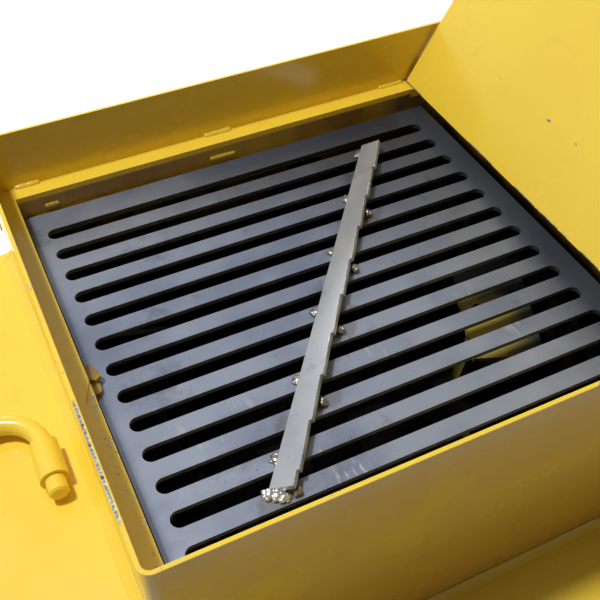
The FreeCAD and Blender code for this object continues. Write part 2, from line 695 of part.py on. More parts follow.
os.makedirs("parts", exist_ok=True)
skid()
trough_shell()
end_plates()
top_deck()
left_seat_strip()
splash_guard()
front_shelf()
grate()
hold_down()
bag_splitter_blade()
lever()
lid()
lid_supports()
agitator()
bearings()
gearbox()
drive_motor()
drive_housing()
discharge()
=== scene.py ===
import json
import math
import random
import bpy
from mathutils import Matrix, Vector


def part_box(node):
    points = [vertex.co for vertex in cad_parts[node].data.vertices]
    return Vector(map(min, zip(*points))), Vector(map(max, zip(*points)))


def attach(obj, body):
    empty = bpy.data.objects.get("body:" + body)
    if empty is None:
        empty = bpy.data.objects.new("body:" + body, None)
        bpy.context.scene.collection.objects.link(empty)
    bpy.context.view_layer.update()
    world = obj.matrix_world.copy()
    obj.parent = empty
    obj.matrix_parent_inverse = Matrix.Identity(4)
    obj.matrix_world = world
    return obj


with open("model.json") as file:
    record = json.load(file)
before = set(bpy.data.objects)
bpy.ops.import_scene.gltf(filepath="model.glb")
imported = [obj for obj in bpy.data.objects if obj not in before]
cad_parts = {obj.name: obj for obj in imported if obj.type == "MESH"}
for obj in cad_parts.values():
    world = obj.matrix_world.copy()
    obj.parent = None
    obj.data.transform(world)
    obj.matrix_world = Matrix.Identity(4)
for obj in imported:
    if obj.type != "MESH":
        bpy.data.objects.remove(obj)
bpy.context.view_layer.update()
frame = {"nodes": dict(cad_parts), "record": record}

random.seed(7)
MM = 0.001
ROOT = "frame"

# Places worked out from the frame
DECK_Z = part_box("top_deck")[1][2]
GRATE_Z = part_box("grate_plate")[1][2]
RIM_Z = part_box("splash_guard_back")[1][2]
TANK_LOW, TANK_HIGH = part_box("trough_shell")
TANK_X = (TANK_LOW[0] + TANK_HIGH[0]) / 2
SHAFT_Z = (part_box("mixer_shaft")[0][2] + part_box("mixer_shaft")[1][2]) / 2
GUARD_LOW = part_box("splash_guard_front_left")[0]
BACK_LOW, BACK_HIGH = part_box("splash_guard_back")
SHEET = BACK_HIGH[1] - BACK_LOW[1]
LID_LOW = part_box("lid_panel")[0]
SCUFF_X = TANK_LOW[0] - 3.5 * MM

# The blade is welded slantwise on the grate and leans over to its right
BLADE_START = Vector((TANK_X - 0.177, -0.2143, GRATE_Z))
BLADE_TURN = math.radians(52.5)
BLADE_TILT = math.radians(30)
BLADE_LENGTH = 0.555
BLADE_THICK = 5 * MM
BLADE_ROOT_W = 26.5 * MM
BLADE_TIP_W = 30 * MM
TOOTH_PITCH = 59.5 * MM
FIRST_TOOTH = 18 * MM
ALONG = Vector((math.cos(BLADE_TURN), math.sin(BLADE_TURN), 0))
ACROSS = Vector((math.sin(BLADE_TURN), -math.cos(BLADE_TURN), 0))

# Colours, linear
ENAMEL_LIGHT = (0.85, 0.61, 0.055)
ENAMEL_DARK = (0.82, 0.575, 0.048)
PRIMER = (0.20, 0.235, 0.27)
BARE = (0.46, 0.48, 0.50)
# near-black for the tank's inside: cement crust, darkened further as painted shade of the deep interior
CRUST_SHADE_DARK = (0.004, 0.0035, 0.003)
# dark for the grate's painted shade at its back right corner and right margin
GRATE_SHADE_DARK = (0.022, 0.024, 0.030)


# ---------------------------------------------------------------- materials
class Graph:
    """A material's node tree, with short calls for the nodes used here.

    x, y and z are places in metres; origin is where the node's own zero stands.
    """

    def __init__(self, name, origin=(0, 0, 0)):
        self.material = bpy.data.materials.new(name)
        self.material.use_nodes = True
        self.tree = self.material.node_tree
        self.shader = self.tree.nodes["Principled BSDF"]
        self.place = self.new("ShaderNodeTexCoord").outputs["Object"]
        split = self.new("ShaderNodeSeparateXYZ")
        moved = self.new("ShaderNodeVectorMath")
        moved.operation = "ADD"
        moved.inputs[1].default_value = origin
        self.link(self.place, moved.inputs[0])
        self.link(moved.outputs[0], split.inputs[0])
        self.x, self.y, self.z = split.outputs

    def new(self, kind):
        return self.tree.nodes.new(kind)

    def link(self, source, target):
        self.tree.links.new(source, target)

    def feed(self, socket, value):
        if hasattr(value, "links"):
            self.link(value, socket)
        else:
            socket.default_value = value

    def math(self, operation, a, b=0.0):
        node = self.new("ShaderNodeMath")
        node.operation = operation
        self.feed(node.inputs[0], a)
        self.feed(node.inputs[1], b)
        return node.outputs[0]

    def noise(self, scale, detail=3.0, stretch=(1, 1, 1), rough=0.5):
        mapping = self.new("ShaderNodeMapping")
        mapping.inputs["Scale"].default_value = stretch
        self.link(self.place, mapping.inputs[0])
        node = self.new("ShaderNodeTexNoise")
        node.inputs["Scale"].default_value = scale
        node.inputs["Detail"].default_value = detail
        node.inputs["Roughness"].default_value = rough
        self.link(mapping.outputs[0], node.inputs["Vector"])
        return node.outputs["Fac"]

    def specks(self, scale):
        node = self.new("ShaderNodeTexVoronoi")
        node.inputs["Scale"].default_value = scale
        self.link(self.place, node.inputs["Vector"])
        return node.outputs["Distance"]

    def step(self, value, low, high, out_low=0.0, out_high=1.0):
        node = self.new("ShaderNodeMapRange")
        node.interpolation_type = "SMOOTHSTEP"
        self.feed(node.inputs["Value"], value)
        node.inputs["From Min"].default_value = low
        node.inputs["From Max"].default_value = high
        node.inputs["To Min"].default_value = out_low
        node.inputs["To Max"].default_value = out_high
        return node.outputs["Result"]

    def band(self, value, low, high, soft):
        """1 between low and high, fading to 0 over soft on each side."""
        rising = self.step(value, low - soft, low)
        falling = self.step(value, high, high + soft, 1.0, 0.0)
        return self.math("MULTIPLY", rising, falling)

    def times(self, *values):
        result = values[0]
        for value in values[1:]:
            result = self.math("MULTIPLY", result, value)
        return result

    def blend(self, share, a, b):
        node = self.new("ShaderNodeMix")
        node.data_type = "RGBA"
        self.feed(node.inputs["Factor"], share)
        for socket, value in ((node.inputs[6], a), (node.inputs[7], b)):
            self.feed(socket, value if hasattr(value, "links") else (*value, 1.0))
        return node.outputs[2]

    def mix_value(self, share, a, b):
        node = self.new("ShaderNodeMix")
        self.feed(node.inputs["Factor"], share)
        self.feed(node.inputs[2], a)
        self.feed(node.inputs[3], b)
        return node.outputs[0]

    def bump(self, height, distance, strength=1.0, under=None):
        node = self.new("ShaderNodeBump")
        node.inputs["Distance"].default_value = distance
        node.inputs["Strength"].default_value = strength
        self.feed(node.inputs["Height"], height)
        if under is not None:
            self.link(under, node.inputs["Normal"])
        return node.outputs[0]

    def finish(self, color, metallic, roughness, normal=None, coat=0.0, gloss=0.5):
        self.feed(self.shader.inputs["Base Color"], color if hasattr(color, "links") else (*color, 1.0))
        self.feed(self.shader.inputs["Metallic"], metallic)
        self.feed(self.shader.inputs["Roughness"], roughness)
        if normal is not None:
            self.link(normal, self.shader.inputs["Normal"])
        self.feed(self.shader.inputs["Coat Weight"], coat)
        self.feed(self.shader.inputs["Specular IOR Level"], gloss)
        self.shader.inputs["Coat Roughness"].default_value = 0.08
        return self.material


def within_tank_length(g):
    return g.band(g.x, TANK_LOW[0] - 1.5 * MM, TANK_HIGH[0] + 1.5 * MM, 0.2 * MM)


def inside_tank(g):
    """1 on faces that bound the tank's inside below the grate."""
    below_axis = g.math("MINIMUM", g.math("SUBTRACT", g.z, SHAFT_Z), 0.0)
    squares = g.math("ADD", g.math("MULTIPLY", g.y, g.y), g.math("MULTIPLY", below_axis, below_axis))
    radius = g.math("SQRT", squares)
    in_radius = g.math("LESS_THAN", radius, TANK_HIGH[1] - SHEET / 2)
    in_height = g.step(g.z, GRATE_Z - 14 * MM, GRATE_Z + 4 * MM, 1.0, 0.0)
    return g.times(in_radius, within_tank_length(g), in_height)


def throat_walls(g):
    """1 on the faces round the grate, between it and the deck, which are painted brown as shade."""
    in_width = g.math("LESS_THAN", g.math("ABSOLUTE", g.y), TANK_HIGH[1] - SHEET / 2)
    in_height = g.band(g.z, GRATE_Z - 16 * MM, DECK_Z - 9 * MM, 3 * MM)
    return g.times(in_width, within_tank_length(g), in_height)


def paddle_painted_light(name, origin):
    """The paddle under the grate: a painted pool of light, yellow round one spot, dark elsewhere as crust
    and painted shade.
    """
    lit_x, lit_y = 0.308, -0.066
    g = Graph(name, origin)
    dx = g.math("SUBTRACT", g.x, lit_x)
    dy = g.math("SUBTRACT", g.y, lit_y)
    away = g.math("SQRT", g.math("ADD", g.times(dx, dx), g.times(dy, dy)))
    away = g.math("ADD", away, g.math("MULTIPLY", g.noise(34.0, 4.0), 40 * MM))
    # painted pool of light: yellow at this spot, fading to dark away from it
    rubbed_and_lit = g.step(away, 34 * MM, 92 * MM, 1.0, 0.0)
    color = g.blend(rubbed_and_lit, (0.022, 0.024, 0.024), (0.40, 0.30, 0.035))
    bump = g.bump(g.noise(120.0, 4.0), 0.6 * MM, 0.3)
    return g.finish(color, 0.0, 0.6, bump)


def front_painted_shade(g):
    """Painted shade: a brown darkening on the hopper's outer front, fading out down the housing."""
    front = GUARD_LOW[1]
    facing = g.times(g.step(g.y, front + 1 * MM, front + 4 * MM, 1.0, 0.0),
                     g.step(g.y, front - 3 * MM, front - 1 * MM))
    height = g.times(g.step(g.z, DECK_Z - 0.60, DECK_Z - 0.16),
                     g.step(g.z, RIM_Z - 2 * MM, RIM_Z - 1 * MM, 1.0, 0.0))
    return g.times(facing, height, g.step(g.noise(6.0, 3.0), 0.2, 0.8, 0.72, 0.86))


def chipped_flecks(g):
    """Small flecks, clustered in a few places, on the deck and below it."""
    flecks = g.step(g.specks(150.0), 0.05, 0.13, 1.0, 0.0)
    clusters = g.step(g.noise(21.0, 4.0, rough=0.6), 0.66, 0.70)
    return g.times(flecks, clusters, g.step(g.z, DECK_Z + 9 * MM, DECK_Z + 10 * MM, 1.0, 0.0))


def worn_rim(g):
    """Chips along the splash guard's rim, and the stretch at the left that is rubbed bare."""
    rim = g.band(g.z, RIM_Z - 1.2 * MM, RIM_Z + 0.5 * MM, 1 * MM)
    chips = g.step(g.noise(55.0, 5.0, rough=0.7), 0.63, 0.66)
    stretch = g.band(g.y, -0.245, -0.125, 12 * MM)
    outer_edge = g.step(g.x, GUARD_LOW[0] + 2.2 * MM, GUARD_LOW[0] + 3.2 * MM, 1.0, 0.0)
    rubbed_and_lit = g.times(stretch, outer_edge, g.step(g.noise(60.0, 4.0), 0.34, 0.40))
    return g.times(rim, g.math("MAXIMUM", rubbed_and_lit, chips))


def worn_lid_edge(g):
    """Chips along the open lid's lower edge."""
    return g.times(g.band(g.z, LID_LOW[2], LID_LOW[2] + 2.6 * MM, 0.5 * MM),
                   g.step(g.x, LID_LOW[0] + 6 * MM, LID_LOW[0] + 8 * MM, 1.0, 0.0),
                   g.step(g.x, LID_LOW[0] - 2 * MM, LID_LOW[0] - 1 * MM),
                   g.step(g.noise(34.0, 4.0), 0.50, 0.54))


def scuffed_ledge(g):
    """Scuffs on the left ledge, near the front."""
    return g.times(g.band(g.x, SCUFF_X - 5 * MM, SCUFF_X + 4 * MM, 1 * MM),
                   g.band(g.y, -0.30, -0.055, 10 * MM),
                   g.step(g.z, DECK_Z + 1 * MM, DECK_Z + 2 * MM, 1.0, 0.0),
                   g.step(g.noise(120.0, 6.0, rough=0.75), 0.53, 0.60))


def yellow_paint(name, with_crust_and_shade=True, origin=(0, 0, 0)):
    g = Graph(name, origin)
    color = g.blend(g.step(g.noise(4.0, 3.0), 0.35, 0.65), ENAMEL_DARK, ENAMEL_LIGHT)
    grime = g.times(g.step(g.noise(24.0, 8.0, rough=0.65), 0.58, 0.80), 0.16)
    color = g.blend(grime, color, (0.45, 0.29, 0.045))
    # painted shade on the hopper's outer front
    color = g.blend(front_painted_shade(g), color, (0.46, 0.250, 0.036))

    bare = g.math("MAXIMUM", worn_lid_edge(g), g.math("MULTIPLY", scuffed_ledge(g), 0.75))
    bare = g.math("MAXIMUM", worn_rim(g), bare)
    bare = g.math("MAXIMUM", chipped_flecks(g), bare)
    under = g.blend(g.step(g.noise(300.0, 3.0), 0.48, 0.56), PRIMER, BARE)
    under = g.blend(g.step(g.noise(140.0, 3.0), 0.56, 0.66), under, (0.10, 0.07, 0.05))
    color = g.blend(bare, color, under)
    rough = g.mix_value(bare, g.step(g.noise(12.0, 3.0), 0.3, 0.7, 0.22, 0.34), 0.45)
    metallic = g.math("MULTIPLY", bare, 0.8)
    coat, gloss = 0.2, 0.5
    if with_crust_and_shade:
        # painted shade: the throat walls are darkened brown, to near-black towards the right
        painted_shade = g.step(g.noise(16.0, 5.0, stretch=(1, 1, 0.3)), 0.30, 0.70, 0.62, 0.94)
        brown = g.blend(g.step(g.x, 0.24, 0.38), (0.20, 0.105, 0.016), (0.018, 0.014, 0.010))
        color = g.blend(g.times(throat_walls(g), painted_shade), color, brown)
        # inside the tank the paint is made near-black: cement crust and painted shade of the deep
        # interior
        crust_and_shade = inside_tank(g)
        outside_crust_and_shade = g.math("SUBTRACT", 1.0, crust_and_shade)
        crust_and_shade_colour = g.blend(g.step(g.noise(45.0, 6.0), 0.45, 0.62), CRUST_SHADE_DARK, (0.009, 0.008, 0.006))
        # painted light: patches of the tank's back wall just under the grate are kept lighter brown,
        # where light comes in through the first slots
        back_wall_painted_light = g.times(g.step(g.y, 0.22, 0.27), g.step(g.z, GRATE_Z - 0.12, GRATE_Z - 0.03),
                            g.step(g.noise(26.0, 5.0), 0.36, 0.60))
        crust_and_shade_colour = g.blend(back_wall_painted_light, crust_and_shade_colour, (0.32, 0.19, 0.035))
        color = g.blend(crust_and_shade, color, crust_and_shade_colour)
        rough = g.mix_value(crust_and_shade, rough, 0.85)
        metallic = g.math("MULTIPLY", metallic, outside_crust_and_shade)
        coat, gloss = g.math("MULTIPLY", outside_crust_and_shade, coat), g.math("MULTIPLY", outside_crust_and_shade, gloss)

    nibs = g.step(g.specks(420.0), 0.0, 0.20, 1.0, 0.0)
    sparse = g.step(g.noise(70.0, 2.0), 0.60, 0.66)
    peel = g.bump(g.noise(160.0, 3.0), 0.6 * MM, 0.12)
    wavy = g.bump(g.noise(14.0, 2.0), 6 * MM, 0.06, under=peel)
    nib_bump = g.bump(g.math("MULTIPLY", nibs, sparse), 0.5 * MM, 0.5, under=wavy)
    chip_bump = g.bump(g.math("SUBTRACT", 1.0, bare), 0.25 * MM, 0.6, under=nib_bump)
    return g.finish(color, metallic, rough, chip_bump, coat=coat, gloss=gloss)


def blade_distance(g):
    """Signed distance in plan from the blade's welded edge."""
    dx = g.math("MULTIPLY", g.math("SUBTRACT", g.x, BLADE_START.x), ACROSS.x)
    dy = g.math("MULTIPLY", g.math("SUBTRACT", g.y, BLADE_START.y), ACROSS.y)
    return g.math("ADD", dx, dy)


def grate_steel(name, base, bright, scratch_stretch, tinted=True):
    g = Graph(name)
    cloud = g.noise(7.0, 5.0)
    color = g.blend(g.step(cloud, 0.35, 0.65), base, bright)
    scratch = g.noise(90.0, 4.0, stretch=scratch_stretch, rough=0.7)
    color = g.blend(g.step(scratch, 0.54, 0.76, 0.0, 0.35), color, (0.34, 0.37, 0.42))
    fine = g.noise(420.0, 2.0, stretch=scratch_stretch)
    patches = g.step(g.noise(15.0, 6.0, rough=0.65), 0.57, 0.70)
    color = g.blend(g.math("MULTIPLY", patches, 0.45), color, (0.060, 0.064, 0.078))
    rough = g.mix_value(patches, g.step(fine, 0.3, 0.7, 0.30, 0.40), 0.50)
    if tinted:
        # short bright grinding marks across some of the front bars
        marks = g.noise(230.0, 3.0, stretch=(1.0, 0.16, 1.0), rough=0.7)
        spots = g.times(g.step(g.noise(13.0, 2.0), 0.60, 0.66), g.step(g.y, -0.30, 0.05, 1.0, 0.0))
        color = g.blend(g.times(spots, g.step(marks, 0.52, 0.66)), color, (0.55, 0.57, 0.60))
        gap = blade_distance(g)
        wobble = g.math("MULTIPLY", g.math("SUBTRACT", g.noise(30.0, 3.0), 0.5), 24 * MM)
        near = g.math("ADD", gap, wobble)
        along_tacks = g.step(g.noise(19.0, 2.0), 0.50, 0.60)
        brown = g.times(g.band(near, -6 * MM, 40 * MM, 6 * MM), along_tacks, 0.40)
        blue = g.times(g.band(near, -14 * MM, -7 * MM, 6 * MM), along_tacks, 0.22)
        color = g.blend(brown, color, (0.14, 0.095, 0.055))
        color = g.blend(blue, color, (0.085, 0.11, 0.19))
        # painted shade: the back right corner and the right margin of the grate are darkened
        corner = g.step(g.math("ADD", g.x, g.y), 0.10, 0.60, 0.0, 0.80)
        margin = g.step(g.x, 0.31, 0.405, 0.0, 0.86)
        painted_shade = g.math("MAXIMUM", corner, margin)
        color = g.blend(painted_shade, color, GRATE_SHADE_DARK)
    rust = g.times(g.step(g.specks(95.0), 0.0, 0.12, 1.0, 0.0), g.step(g.noise(20.0, 3.0), 0.60, 0.64))
    color = g.blend(rust, color, (0.18, 0.07, 0.025))
    bump = g.bump(g.noise(240.0, 3.0, stretch=scratch_stretch), 0.25 * MM, 0.05)
    pits = g.bump(g.noise(70.0, 5.0), 0.8 * MM, 0.10, under=bump)
    return g.finish(color, 0.55, rough, pits)


def plain_metal(name, base, bright, metallic, rough, grain=120.0, coat=0.0, gloss=0.5):
    g = Graph(name)
    color = g.blend(g.step(g.noise(grain, 5.0), 0.4, 0.65), base, bright)
    grime = g.step(g.noise(18.0, 6.0, rough=0.6), 0.52, 0.72, 0.0, 0.4)
    color = g.blend(grime, color, tuple(channel * 0.45 for channel in base))
    roughness = g.step(g.noise(30.0, 3.0), 0.3, 0.7, rough - 0.06, rough + 0.10)
    bump = g.bump(g.noise(grain * 1.5, 4.0), 0.4 * MM, 0.25)
    return g.finish(color, metallic, roughness, bump, coat=coat, gloss=gloss)


YELLOW = yellow_paint("Yellow enamel")
LID_YELLOW = yellow_paint("Yellow enamel, lid", with_crust_and_shade=False,
                          origin=frame["nodes"]["lid_panel"].matrix_world.translation)
PADDLE_LIT_PATCH = paddle_painted_light("Paddle enamel, painted light", frame["nodes"]["paddle_blade_4"].matrix_world.translation)
# the grate seats are left without the throat's painted shade
SEAT_YELLOW = yellow_paint("Yellow enamel, grate seats", with_crust_and_shade=False)
# near-black for the parts inside the tank: cement crust, darkened further as painted shade
CRUST_AND_SHADE = plain_metal("Cement crust and painted shade", (0.005, 0.0045, 0.004), (0.010, 0.009, 0.008), 0.0, 0.9, 60.0,
                    gloss=0.08)
GRATE = grate_steel("Grate steel", (0.205, 0.24, 0.335), (0.33, 0.37, 0.47), (0.25, 3, 1))
BLADE = grate_steel("Blade steel", (0.36, 0.395, 0.45), (0.50, 0.53, 0.58), (2, 2, 1), tinted=False)
BRIGHT = plain_metal("Ground steel", (0.42, 0.42, 0.44), (0.52, 0.52, 0.54), 0.9, 0.28)
ZINC = plain_metal("Zinc plate", (0.44, 0.45, 0.47), (0.58, 0.59, 0.60), 0.85, 0.36)
IRON = plain_metal("Cast iron", (0.045, 0.045, 0.05), (0.075, 0.075, 0.08), 0.3, 0.62, 220.0)
GEARBOX = plain_metal("Gearbox enamel", (0.05, 0.075, 0.12), (0.065, 0.09, 0.14), 0.0, 0.38, 160.0, 0.2)
MOTOR = plain_metal("Motor enamel", (0.075, 0.085, 0.095), (0.095, 0.105, 0.12), 0.0, 0.42, 160.0, 0.2)
RUBBER = plain_metal("Seal rubber", (0.018, 0.018, 0.018), (0.03, 0.03, 0.03), 0.0, 0.7, 200.0)
WELD = plain_metal("Weld metal", (0.20, 0.185, 0.17), (0.42, 0.41, 0.40), 0.65, 0.27, 260.0)
BRIGHT_WELD = plain_metal("Bright weld metal", (0.50, 0.51, 0.52), (0.85, 0.86, 0.88), 0.75, 0.22, 260.0)
SLOT_FINISH = {
    "yellow_paint": YELLOW, "grate_steel": GRATE, "bare_steel": BRIGHT, "zinc_plated": ZINC,
    "cast_iron": IRON, "gearbox_paint": GEARBOX, "motor_paint": MOTOR, "seal_rubber": RUBBER,
}
NODE_FINISH = {
    "bag_splitter_blade": BLADE, "paddle_blade_4": PADDLE_LIT_PATCH, "paddle_arm_4": PADDLE_LIT_PATCH,
    "grate_support_back": SEAT_YELLOW, "grate_support_front": SEAT_YELLOW, "lid_panel": LID_YELLOW,
}
CUT_EDGE = 0.8 * MM
ROUNDED_EDGE = 1.1 * MM
# parts inside the tank that get the crust and painted shade
CRUST_AND_SHADE_NODES = ("arm_hubs", "mixer_shaft", "paddle_bolt_heads", "paddle_arm_1", "paddle_arm_2",
           "paddle_arm_3", "paddle_blade_1", "paddle_blade_2", "paddle_blade_3", "hold_down_block")


def finish_cad_nodes():
    slots = {entry["node"]: entry["material_slot"] for entry in frame["record"]["subparts"]}
    for name, node in frame["nodes"].items():
        finish = CRUST_AND_SHADE if name in CRUST_AND_SHADE_NODES else NODE_FINISH.get(name, SLOT_FINISH[slots[name]])
        node.data.materials.clear()
        node.data.materials.append(finish)
        edge = node.modifiers.new("edge", "BEVEL")
        edge.width = CUT_EDGE if name in ("grate_plate", "bag_splitter_blade") else ROUNDED_EDGE
        edge.segments = 2
        edge.limit_method = "ANGLE"
        edge.angle_limit = math.radians(40)
        edge.use_clamp_overlap = True


# ---------------------------------------------------------------- pieces
def piece(name, vertices, faces, material, body=ROOT, smooth=True):
    mesh = bpy.data.meshes.new(name)
    mesh.from_pydata([tuple(v) for v in vertices], [], faces)
    mesh.materials.append(material)
    for polygon in mesh.polygons:
        polygon.use_smooth = smooth
    mesh.update()
    thing = bpy.data.objects.new(name, mesh)
    bpy.context.scene.collection.objects.link(thing)
    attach(thing, body)
    return thing


def append_shape(vertices, faces, shape):
    """Add one shape's vertices and faces to the lists of a piece that is made of several."""
    new_vertices, new_faces = shape
    offset = len(vertices)
    vertices += new_vertices
    faces += [tuple(index + offset for index in face) for face in new_faces]


def bead_shape(start, end, radius):
    """Vertices and faces of a rippled weld bead between two points."""
    sides = 12
    run = end - start
    length = run.length
    direction = run.normalized()
    up = Vector((0, 0, 1))
    if abs(direction.dot(up)) > 0.95:
        up = Vector((0, 1, 0))
    side = direction.cross(up).normalized()
    up = side.cross(direction).normalized()
    steps = max(8, int(length / (radius * 0.28)))
    ripple = radius * 0.95
    phase = random.uniform(0, math.pi)
    drift = 0.0
    vertices, faces = [], []
    for i in range(steps + 1):
        s = length * i / steps
        edge = min(s, length - s)
        taper = math.sqrt(max(0.0, 1 - max(0.0, 1 - edge / (radius * 0.9)) ** 2))
        drift = 0.85 * drift + random.uniform(-0.06, 0.06)
        size = radius * (0.86 + 0.13 * abs(math.sin(math.pi * s / ripple + phase)) + drift)
        size *= max(taper, 0.04)
        centre = start + direction * s
        for j in range(sides):
            angle = 2 * math.pi * j / sides
            vertices.append(centre + side * (size * math.cos(angle)) + up * (size * math.sin(angle)))
    for i in range(steps):
        for j in range(sides):
            a, b = i * sides + j, i * sides + (j + 1) % sides
            faces.append((a, b, b + sides, a + sides))
    faces.append(tuple(reversed(range(sides))))
    faces.append(tuple(range(steps * sides, (steps + 1) * sides)))
    return vertices, faces


def beads(name, runs, radius, body=ROOT):
    """Several painted beads as one piece. Each run is (start, end) in metres."""
    vertices, faces = [], []
    for start, end in runs:
        append_shape(vertices, faces, bead_shape(Vector(start), Vector(end), radius))
    return piece(name, vertices, faces, YELLOW, body)


def lump_shape(centre, radius, squash):
    """A small lumpy droplet."""
    rows, sides = 5, 8
    vertices, faces = [], []
    for i in range(rows + 1):
        polar = math.pi * i / rows
        for j in range(sides):
            angle = 2 * math.pi * j / sides
            size = radius * random.uniform(0.9, 1.1)
            vertices.append(centre + Vector((size * math.sin(polar) * math.cos(angle),
                                             size * math.sin(polar) * math.sin(angle),
                                             size * squash * math.cos(polar))))
    for i in range(rows):
        for j in range(sides):
            a, b = i * sides + j, i * sides + (j + 1) % sides
            faces.append((a, a + sides, b + sides, b))
    return vertices, faces


def lumps(name, places, material, squash):
    """Several bare droplets as one piece. Each place is (centre, radius) in metres."""
    vertices, faces = [], []
    for centre, radius in places:
        append_shape(vertices, faces, lump_shape(Vector(centre), radius, squash))
    return piece(name, vertices, faces, material)


def blade_point(along, across, height):
    """A place beside the blade: along and across from its start, and above the grate."""
    spot = BLADE_START + ALONG * along + ACROSS * across
    return Vector((spot.x, spot.y, GRATE_Z + height))


def nugget(centre, radius, height):
    """Overlapping small lumps that make one uneven tack weld."""
    places = [(centre, radius * 0.85)]
    for index in range(6):
        angle = 2 * math.pi * index / 6 + random.uniform(-0.4, 0.4)
        reach = radius * random.uniform(0.35, 0.70)
        lift = random.uniform(-0.3, 0.3) * height
        offset = Vector((reach * math.cos(angle), reach * math.sin(angle), lift))
        places.append((centre + offset, radius * random.uniform(0.38, 0.60)))
    return places


def blade_tacks():
    """Tack welds beside the blade's seated edge and under its raised edge, and the end weld."""
    spacing = 101 * MM
    left, right = [], []
    for index in range(6):
        s = min(37 * MM + index * spacing, BLADE_LENGTH - 16 * MM)
        left += nugget(blade_point(s, -3.5 * MM, 1.2 * MM), 8.0 * MM, 2 * MM)
        s = 12 * MM + index * spacing
        if 0 < index < 5:
            right += nugget(blade_point(s, 27.5 * MM, 4.5 * MM), 6.0 * MM, 6 * MM)
    right += nugget(blade_point(3 * MM, 25 * MM, 4 * MM), 5.0 * MM, 5 * MM)
    lumps("weld_blade_left", left, WELD, squash=0.50)
    lumps("weld_blade_right", right, WELD, squash=1.0)
    front = []
    for offset in (-1, 6, 13):
        front += nugget(blade_point(-4 * MM, offset * MM, 2.0 * MM), 7.5 * MM, 2.5 * MM)
    lumps("weld_blade_front", front, BRIGHT_WELD, squash=0.62)


def cut_edge_slag():
    """Fine slag beads left along the blade's flame-cut edge."""
    places = []
    s = 1 * MM
    while s < BLADE_LENGTH - 1 * MM:
        share = ((s - FIRST_TOOTH) % TOOTH_PITCH) / TOOTH_PITCH
        width = BLADE_TIP_W + (BLADE_ROOT_W - BLADE_TIP_W) * share - 0.3 * MM
        across = width * math.cos(BLADE_TILT) - BLADE_THICK * math.sin(BLADE_TILT)
        height = width * math.sin(BLADE_TILT) + BLADE_THICK * math.cos(BLADE_TILT)
        places.append((blade_point(s, across, height - 0.3 * MM), random.uniform(0.45, 0.9) * MM))
        s += random.uniform(1.3, 2.6) * MM
    lumps("blade_edge_slag", places, BRIGHT_WELD, squash=0.8)


def spatter():
    """Weld spatter scattered on the grate beside the blade."""
    places = []
    slot_pitch, slot_half, first_slot_y = 40 * MM, 10.5 * MM, 236.5 * MM
    droplets, under_blade = 150, 32 * MM
    while len(places) < droplets:
        s = random.uniform(0, BLADE_LENGTH)
        away = random.gauss(8 * MM, 26 * MM)
        spot = BLADE_START + ALONG * s + ACROSS * away
        offset = (first_slot_y - spot.y) % slot_pitch
        over_slot = offset < slot_half or offset > slot_pitch - slot_half
        if over_slot or 0 < away < under_blade:
            continue
        radius = random.uniform(0.35, 1.0) * MM
        places.append(((spot.x, spot.y, GRATE_Z + 0.1 * MM), radius))
    lumps("weld_spatter", places, WELD, squash=0.5)


def tank_top_welds():
    """Stitch welds along the back wall's ledge, low on the throat's back, and on the left ledge."""
    wall_y = BACK_LOW[1]
    throat_y = TANK_HIGH[1] - SHEET
    stitch = []
    for x0, x1 in ((-164, -131), (90, 130), (356, 396)):
        y = wall_y - 0.5 * MM
        stitch.append(((x0 * MM, y, DECK_Z), (x1 * MM, y, DECK_Z)))
    beads("weld_back_ledge", stitch, 4.6 * MM)
    throat = []
    for x0, x1 in ((-136, -116), (88, 126)):
        z = GRATE_Z + 8 * MM
        throat.append(((x0 * MM, throat_y, z), (x1 * MM, throat_y, z)))
    beads("weld_throat", throat, 3.8 * MM)
    left_wall_x = GUARD_LOW[0] + SHEET
    inner = []
    z = DECK_Z + 3 * MM
    for y0 in (-240, -60, 150):
        inner.append(((left_wall_x, y0 * MM, z), (left_wall_x, (y0 + 40) * MM, z)))
    beads("weld_left_ledge", inner, 2.0 * MM)


def fillet(name, start, end, out, width, height):
    """A smooth, slightly uneven painted weld in the corner between a wall and a plate."""
    start, end, out = Vector(start), Vector(end), Vector(out)
    run = end - start
    steps = max(12, int(run.length / (4 * MM)))
    sides = 8
    swell = random.uniform(0, 6)
    vertices, faces = [], []
    for i in range(steps + 1):
        share = i / steps
        s = run.length * share
        wave = 1 + 0.04 * math.sin(s * 55 + swell) + 0.03 * math.sin(s * 137 + 2 * swell)
        spot = start + run * share
        for j in range(sides):
            up_share = j / (sides - 1)
            reach = width * wave * (1 - up_share) ** 1.15
            rise = (height * wave + 0.6 * MM) * up_share ** 1.15 - 0.6 * MM
            vertices.append(spot + out * reach + Vector((0, 0, rise)))
        vertices.append(spot - out * 0.5 * MM - Vector((0, 0, 1.5 * MM)))
    count = sides + 1
    for i in range(steps):
        for j in range(count):
            a, b = i * count + j, i * count + (j + 1) % count
            faces.append((a, b, b + count, a + count))
    faces.append(tuple(reversed(range(count))))
    faces.append(tuple(range(steps * count, (steps + 1) * count)))
    thing = piece(name, vertices, faces, YELLOW)
    for index, polygon in enumerate(thing.data.polygons):
        # each step's two hidden faces, and the ends, stay flat so that the seen face shades evenly
        polygon.use_smooth = index < steps * count and index % count < count - 2
    return thing


